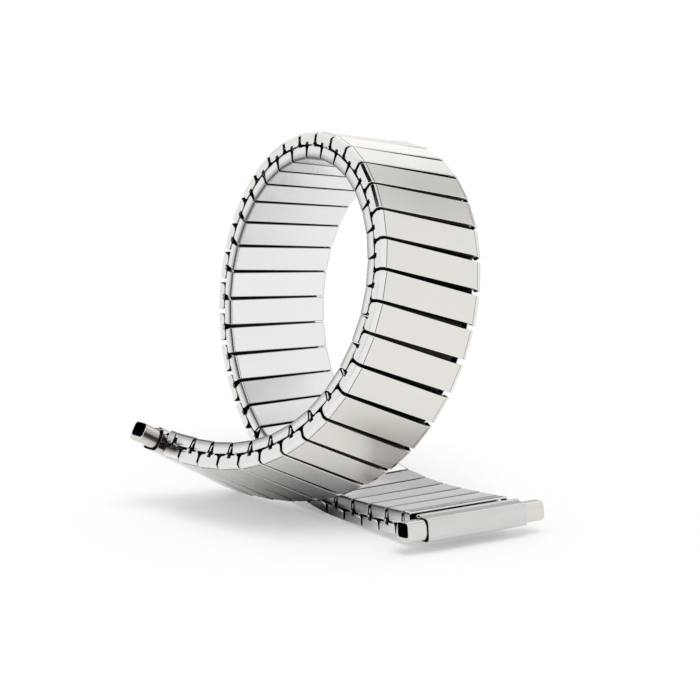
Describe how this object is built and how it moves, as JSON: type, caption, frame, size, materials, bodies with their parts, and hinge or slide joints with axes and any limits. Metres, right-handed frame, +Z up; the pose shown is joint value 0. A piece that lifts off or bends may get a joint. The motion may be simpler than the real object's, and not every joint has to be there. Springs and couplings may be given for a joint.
{
  "type": "expansion watch band",
  "caption": "Stainless expansion watch band closed into a loop, with folding and stretching links and telescoping lug ends.",
  "frame": {"origin": "the middle of the spring-bar axis at the right end, between its two lug tubes", "axes": "+Y along that spring-bar axis from the near lug tube to the far one, +Z up, +X away from the loop beyond the right end"},
  "size_m": [0.0542, 0.0416, 0.0537],
  "materials": {
    "link_steel": "fine brushed stainless steel with polished edges",
    "end_steel": "satin stainless steel sheet",
    "tube_steel": "drawn stainless steel, slightly duller"
  },
  "bodies": {
    "end_link_b": {"end_link_b": "link_steel", "tongue_b": "end_steel"},
    "link_01": {"link_01": "link_steel"},
    "link_02": {"link_02": "link_steel"},
    "link_03": {"link_03": "link_steel"},
    "link_04": {"link_04": "link_steel"},
    "link_05": {"link_05": "link_steel"},
    "link_06": {"link_06": "link_steel"},
    "link_07": {"link_07": "link_steel"},
    "link_08": {"link_08": "link_steel"},
    "link_09": {"link_09": "link_steel"},
    "link_10": {"link_10": "link_steel"},
    "link_11": {"link_11": "link_steel"},
    "link_12": {"link_12": "link_steel"},
    "link_13": {"link_13": "link_steel"},
    "link_14": {"link_14": "link_steel"},
    "link_15": {"link_15": "link_steel"},
    "link_16": {"link_16": "link_steel"},
    "link_17": {"link_17": "link_steel"},
    "link_18": {"link_18": "link_steel"},
    "link_19": {"link_19": "link_steel"},
    "link_20": {"link_20": "link_steel"},
    "link_21": {"link_21": "link_steel"},
    "link_22": {"link_22": "link_steel"},
    "link_23": {"link_23": "link_steel"},
    "link_24": {"link_24": "link_steel"},
    "link_25": {"link_25": "link_steel"},
    "link_26": {"link_26": "link_steel"},
    "link_27": {"link_27": "link_steel"},
    "link_28": {"link_28": "link_steel"},
    "link_29": {"link_29": "link_steel"},
    "link_30": {"link_30": "link_steel"},
    "link_31": {"link_31": "link_steel"},
    "link_32": {"link_32": "link_steel"},
    "link_33": {"link_33": "link_steel"},
    "link_34": {"link_34": "link_steel"},
    "link_35": {"link_35": "link_steel"},
    "link_36": {"link_36": "link_steel"},
    "link_37": {"link_37": "link_steel"},
    "link_38": {"link_38": "link_steel"},
    "link_39": {"link_39": "link_steel"},
    "link_40": {"link_40": "link_steel"},
    "link_41": {"link_41": "link_steel"},
    "end_link_a": {"end_link_a": "link_steel", "tongue_a": "end_steel"},
    "lug_sleeve_b": {"lug_sleeve_b": "end_steel"},
    "tube_front_b": {"tube_front_b": "tube_steel"},
    "tube_back_b": {"tube_back_b": "tube_steel"},
    "lug_sleeve_a": {"lug_sleeve_a": "end_steel"},
    "tube_front_a": {"tube_front_a": "tube_steel"},
    "tube_back_a": {"tube_back_a": "tube_steel"}
  },
  "joints": [
    {"name": "fold_00", "type": "hinge", "parent": "end_link_b", "child": "link_01", "pos_m": [-0.00759, -0.00002, -0.00149], "axis": [-0.0195, 0.9998, -0.0016], "range_deg": [-4.1, 10.7]},
    {"name": "stretch_01", "type": "slide", "parent": "link_01", "child": "link_02", "axis": [-0.9974, -0.0358, -0.0621], "range_m": [0, 0.0017], "stiffness_N_per_m": 400, "springref_m": -0.002},
    {"name": "fold_02", "type": "hinge", "parent": "link_02", "child": "link_03", "pos_m": [-0.01612, -0.00029, -0.00206], "axis": [-0.0482, 0.9988, -0.0021], "range_deg": [-6.5, 8.3]},
    {"name": "stretch_03", "type": "slide", "parent": "link_03", "child": "link_04", "axis": [-0.9974, -0.0567, 0.045], "range_m": [0, 0.0017], "stiffness_N_per_m": 400, "springref_m": -0.002},
    {"name": "fold_04", "type": "hinge", "parent": "link_04", "child": "link_05", "pos_m": [-0.02472, -0.00076, -0.00179], "axis": [-0.0615, 0.9981, 0.001], "range_deg": [-8.8, 6]},
    {"name": "stretch_05", "type": "slide", "parent": "link_05", "child": "link_06", "axis": [-0.971, -0.0611, 0.2312], "range_m": [0, 0.0017], "stiffness_N_per_m": 400, "springref_m": -0.002},
    {"name": "fold_06", "type": "hinge", "parent": "link_06", "child": "link_07", "pos_m": [-0.03318, -0.00128, 0.00001], "axis": [-0.0588, 0.9983, 0.004], "range_deg": [-11.1, 3.8]},
    {"name": "stretch_07", "type": "slide", "parent": "link_07", "child": "link_08", "axis": [-0.877, -0.0471, 0.4782], "range_m": [0, 0.0017], "stiffness_N_per_m": 400, "springref_m": -0.002},
    {"name": "fold_08", "type": "hinge", "parent": "link_08", "child": "link_09", "pos_m": [-0.04097, -0.00171, 0.00392], "axis": [-0.0418, 0.9991, -0.0006], "range_deg": [-13.2, 1.6]},
    {"name": "stretch_09", "type": "slide", "parent": "link_09", "child": "link_10", "axis": [-0.6686, -0.0135, 0.7435], "range_m": [0, 0.0017], "stiffness_N_per_m": 400, "springref_m": -0.002},
    {"name": "fold_10", "type": "hinge", "parent": "link_10", "child": "link_11", "pos_m": [-0.04709, -0.00186, 0.01018], "axis": [-0.0167, 0.9996, -0.0214], "range_deg": [-14.4, 0.5]},
    {"name": "stretch_11", "type": "slide", "parent": "link_11", "child": "link_12", "axis": [-0.3631, 0.0347, 0.9311], "range_m": [0, 0.0017], "stiffness_N_per_m": 400, "springref_m": -0.002},
    {"name": "fold_12", "type": "hinge", "parent": "link_12", "child": "link_13", "pos_m": [-0.05063, -0.00161, 0.01818], "axis": [0.0047, 0.9984, -0.0567], "range_deg": [-14.4, 0.5]},
    {"name": "stretch_13", "type": "slide", "parent": "link_13", "child": "link_14", "axis": [-0.0093, 0.0733, 0.9973], "range_m": [0, 0.0017], "stiffness_N_per_m": 400, "springref_m": -0.002},
    {"name": "fold_14", "type": "hinge", "parent": "link_14", "child": "link_15", "pos_m": [-0.05109, -0.00099, 0.02691], "axis": [0.0153, 0.996, -0.0883], "range_deg": [-14.4, 0.5]},
    {"name": "stretch_15", "type": "slide", "parent": "link_15", "child": "link_16", "axis": [0.3465, 0.0893, 0.9338], "range_m": [0, 0.0017], "stiffness_N_per_m": 400, "springref_m": -0.002},
    {"name": "fold_16", "type": "hinge", "parent": "link_16", "child": "link_17", "pos_m": [-0.04842, -0.00021, 0.03521], "axis": [0.0199, 0.9933, -0.1136], "range_deg": [-14.4, 0.5]},
    {"name": "stretch_17", "type": "slide", "parent": "link_17", "child": "link_18", "axis": [0.6574, 0.0793, 0.7493], "range_m": [0, 0.0017], "stiffness_N_per_m": 400, "springref_m": -0.002},
    {"name": "fold_18", "type": "hinge", "parent": "link_18", "child": "link_19", "pos_m": [-0.04295, 0.00052, 0.04202], "axis": [0.0238, 0.9908, -0.1335], "range_deg": [-14.4, 0.5]},
    {"name": "stretch_19", "type": "slide", "parent": "link_19", "child": "link_20", "axis": [0.8825, 0.0438, 0.4682], "range_m": [0, 0.0017], "stiffness_N_per_m": 400, "springref_m": -0.002},
    {"name": "fold_20", "type": "hinge", "parent": "link_20", "child": "link_21", "pos_m": [-0.03541, 0.00096, 0.04645], "axis": [0.0301, 0.988, -0.1516], "range_deg": [-14.4, 0.5]},
    {"name": "stretch_21", "type": "slide", "parent": "link_21", "child": "link_22", "axis": [0.9917, -0.0137, 0.1276], "range_m": [0, 0.0017], "stiffness_N_per_m": 400, "springref_m": -0.002},
    {"name": "fold_22", "type": "hinge", "parent": "link_22", "child": "link_23", "pos_m": [-0.02678, 0.00092, 0.04794], "axis": [0.0396, 0.9842, -0.1724], "range_deg": [-14.4, 0.5]},
    {"name": "stretch_23", "type": "slide", "parent": "link_23", "child": "link_24", "axis": [0.9699, -0.0875, -0.2273], "range_m": [0, 0.0017], "stiffness_N_per_m": 400, "springref_m": -0.002},
    {"name": "fold_24", "type": "hinge", "parent": "link_24", "child": "link_25", "pos_m": [-0.0182, 0.00025, 0.04631], "axis": [0.0505, 0.9784, -0.2003], "range_deg": [-14.5, 0.5]},
    {"name": "stretch_25", "type": "slide", "parent": "link_25", "child": "link_26", "axis": [0.8189, -0.1689, -0.5485], "range_m": [0, 0.0017], "stiffness_N_per_m": 400, "springref_m": -0.002},
    {"name": "fold_26", "type": "hinge", "parent": "link_26", "child": "link_27", "pos_m": [-0.01081, -0.00113, 0.04182], "axis": [0.0574, 0.9695, -0.2385], "range_deg": [-14.5, 0.5]},
    {"name": "stretch_27", "type": "slide", "parent": "link_27", "child": "link_28", "axis": [0.5579, -0.2479, -0.792], "range_m": [0, 0.0017], "stiffness_N_per_m": 400, "springref_m": -0.002},
    {"name": "fold_28", "type": "hinge", "parent": "link_28", "child": "link_29", "pos_m": [-0.0056, -0.0032, 0.03508], "axis": [0.0533, 0.9567, -0.2863], "range_deg": [-14.5, 0.5]},
    {"name": "stretch_29", "type": "slide", "parent": "link_29", "child": "link_30", "axis": [0.2214, -0.3146, -0.923], "range_m": [0, 0.0017], "stiffness_N_per_m": 400, "springref_m": -0.002},
    {"name": "fold_30", "type": "hinge", "parent": "link_30", "child": "link_31", "pos_m": [-0.00329, -0.00588, 0.02707], "axis": [0.0309, 0.9401, -0.3395], "range_deg": [-14.5, 0.5]},
    {"name": "stretch_31", "type": "slide", "parent": "link_31", "child": "link_32", "axis": [-0.1449, -0.3598, -0.9217], "range_m": [0, 0.0017], "stiffness_N_per_m": 400, "springref_m": -0.002},
    {"name": "fold_32", "type": "hinge", "parent": "link_32", "child": "link_33", "pos_m": [-0.00417, -0.00897, 0.01892], "axis": [-0.0125, 0.9227, -0.3853], "range_deg": [-14.5, 0.5]},
    {"name": "stretch_33", "type": "slide", "parent": "link_33", "child": "link_34", "axis": [-0.4903, -0.3652, -0.7913], "range_m": [0, 0.0017], "stiffness_N_per_m": 400, "springref_m": -0.002},
    {"name": "fold_34", "type": "hinge", "parent": "link_34", "child": "link_35", "pos_m": [-0.00812, -0.01217, 0.01179], "axis": [-0.057, 0.9094, -0.4119], "range_deg": [-14.5, 0.5]},
    {"name": "stretch_35", "type": "slide", "parent": "link_35", "child": "link_36", "axis": [-0.7666, -0.3229, -0.5551], "range_m": [0, 0.0017], "stiffness_N_per_m": 400, "springref_m": -0.002},
    {"name": "fold_36", "type": "hinge", "parent": "link_36", "child": "link_37", "pos_m": [-0.01457, -0.01506, 0.00664], "axis": [-0.0922, 0.8985, -0.4292], "range_deg": [-13.3, 1.5]},
    {"name": "stretch_37", "type": "slide", "parent": "link_37", "child": "link_38", "axis": [-0.918, -0.257, -0.3019], "range_m": [0, 0.0017], "stiffness_N_per_m": 400, "springref_m": -0.002},
    {"name": "fold_38", "type": "hinge", "parent": "link_38", "child": "link_39", "pos_m": [-0.02242, -0.01738, 0.00374], "axis": [-0.1176, 0.8864, -0.4477], "range_deg": [-10.7, 4.1]},
    {"name": "stretch_39", "type": "slide", "parent": "link_39", "child": "link_40", "axis": [-0.9748, -0.1964, -0.1054], "range_m": [0, 0.0017], "stiffness_N_per_m": 400, "springref_m": -0.002},
    {"name": "fold_40", "type": "hinge", "parent": "link_40", "child": "link_41", "pos_m": [-0.03079, -0.01916, 0.00264], "axis": [-0.1355, 0.8697, -0.4746], "range_deg": [-8.2, 6.6]},
    {"name": "stretch_41", "type": "slide", "parent": "link_41", "child": "end_link_a", "axis": [-0.9876, -0.1568, 0.0116], "range_m": [0, 0.0017], "stiffness_N_per_m": 400, "springref_m": -0.002},
    {"name": "lug_b", "type": "hinge", "parent": "end_link_b", "child": "lug_sleeve_b", "pos_m": [-0.00209, 0, 0.00087], "axis": [0, -1, 0], "range_deg": [-15, 20]},
    {"name": "tube_front_b", "type": "slide", "parent": "lug_sleeve_b", "child": "tube_front_b", "axis": [0, -1, 0], "range_m": [-0.003, 0]},
    {"name": "tube_back_b", "type": "slide", "parent": "lug_sleeve_b", "child": "tube_back_b", "axis": [0, 1, 0], "range_m": [-0.003, 0]},
    {"name": "lug_a", "type": "hinge", "parent": "end_link_a", "child": "lug_sleeve_a", "pos_m": [-0.03866, -0.01955, 0.00421], "axis": [-0.1421, 0.8588, -0.4923], "range_deg": [-15, 20]},
    {"name": "tube_front_a", "type": "slide", "parent": "lug_sleeve_a", "child": "tube_front_a", "axis": [0.1421, -0.8588, 0.4923], "range_m": [-0.003, 0]},
    {"name": "tube_back_a", "type": "slide", "parent": "lug_sleeve_a", "child": "tube_back_a", "axis": [-0.1421, 0.8588, -0.4923], "range_m": [-0.003, 0]}
  ],
  "couplings": [
    {"joint": "stretch_01", "follows": "stretch_21", "ratio": 1},
    {"joint": "stretch_03", "follows": "stretch_21", "ratio": 1},
    {"joint": "stretch_05", "follows": "stretch_21", "ratio": 1},
    {"joint": "stretch_07", "follows": "stretch_21", "ratio": 1},
    {"joint": "stretch_09", "follows": "stretch_21", "ratio": 1},
    {"joint": "stretch_11", "follows": "stretch_21", "ratio": 1},
    {"joint": "stretch_13", "follows": "stretch_21", "ratio": 1},
    {"joint": "stretch_15", "follows": "stretch_21", "ratio": 1},
    {"joint": "stretch_17", "follows": "stretch_21", "ratio": 1},
    {"joint": "stretch_19", "follows": "stretch_21", "ratio": 1},
    {"joint": "stretch_23", "follows": "stretch_21", "ratio": 1},
    {"joint": "stretch_25", "follows": "stretch_21", "ratio": 1},
    {"joint": "stretch_27", "follows": "stretch_21", "ratio": 1},
    {"joint": "stretch_29", "follows": "stretch_21", "ratio": 1},
    {"joint": "stretch_31", "follows": "stretch_21", "ratio": 1},
    {"joint": "stretch_33", "follows": "stretch_21", "ratio": 1},
    {"joint": "stretch_35", "follows": "stretch_21", "ratio": 1},
    {"joint": "stretch_37", "follows": "stretch_21", "ratio": 1},
    {"joint": "stretch_39", "follows": "stretch_21", "ratio": 1},
    {"joint": "stretch_41", "follows": "stretch_21", "ratio": 1}
  ]
}
